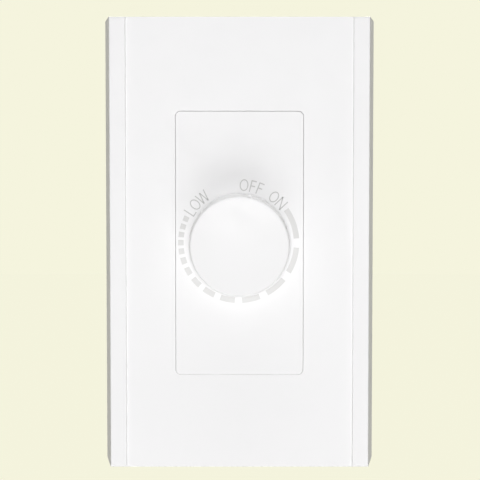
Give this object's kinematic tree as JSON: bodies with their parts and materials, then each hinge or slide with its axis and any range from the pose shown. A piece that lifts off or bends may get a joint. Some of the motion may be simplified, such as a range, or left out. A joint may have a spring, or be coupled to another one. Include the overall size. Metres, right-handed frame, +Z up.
{
  "type": "fan speed control switch",
  "caption": "Rotary fan speed control for a wall box: white screwless cover plate with raised side rails, printed dial insert, round knob, mounting strap and rear housing.",
  "frame": {"origin": "on the shaft's axis in the plane of the wall, where the cover plate's back rim meets it", "axes": "+X to the right as seen from the room, +Y into the wall along the shaft, +Z up"},
  "size_m": [0.0698, 0.0503, 0.1142],
  "materials": {
    "white_moulding": "satin",
    "frame_moulding": "matte",
    "strap_metal": "mill finish",
    "plated_steel": "zinc plated",
    "fibre": "matte",
    "grey_moulding": "matte",
    "bushing_metal": "turned",
    "shaft_metal": "turned",
    "laminate": "matte",
    "switch_moulding": "matte",
    "carrier_moulding": "matte",
    "contact_brass": "stamped",
    "board_laminate": "matte",
    "tinned_metal": "tinned",
    "black_epoxy": "matte",
    "insulator": "matte",
    "rivet_metal": "mill finish",
    "ferrite": "sintered",
    "enamelled_copper": "enamelled",
    "capacitor_box": "moulded",
    "resistor_coat": "lacquered",
    "diode_glass": "glass"
  },
  "bodies": {
    "base": {"cover_plate": "white_moulding", "sub_plate": "frame_moulding", "plate_screws": "plated_steel", "face_insert": "white_moulding", "mounting_strap": "strap_metal", "box_screws": "plated_steel", "screw_retainers": "fibre", "housing_screws": "plated_steel", "rear_housing": "grey_moulding", "pot_bushing": "bushing_metal", "lock_washer": "plated_steel", "pot_nut": "bushing_metal", "pot_case": "plated_steel", "track_wafer": "laminate", "pot_terminals": "contact_brass", "switch_base": "switch_moulding", "contact_leaf": "contact_brass", "fixed_contact": "contact_brass", "circuit_board": "board_laminate", "triac_tab": "tinned_metal", "triac_body": "black_epoxy", "triac_pad": "insulator", "triac_rivet": "rivet_metal", "choke_core": "ferrite", "choke_winding": "enamelled_copper", "film_capacitors": "capacitor_box", "resistors": "resistor_coat", "trigger_diode": "diode_glass", "component_wires": "tinned_metal"},
    "rotor": {"knob": "white_moulding", "knob_clip": "plated_steel", "shaft": "shaft_metal", "shaft_ring": "plated_steel", "wiper_carrier": "carrier_moulding", "wiper_spring": "contact_brass", "switch_cam": "switch_moulding"}
  },
  "joints": [
    {"name": "knob_turn", "type": "hinge", "parent": "base", "child": "rotor", "pos_m": [0, -0.0158, 0], "axis": [0, 1, 0], "range_deg": [0, 300], "deforming": ["contact_leaf"]}
  ]
}
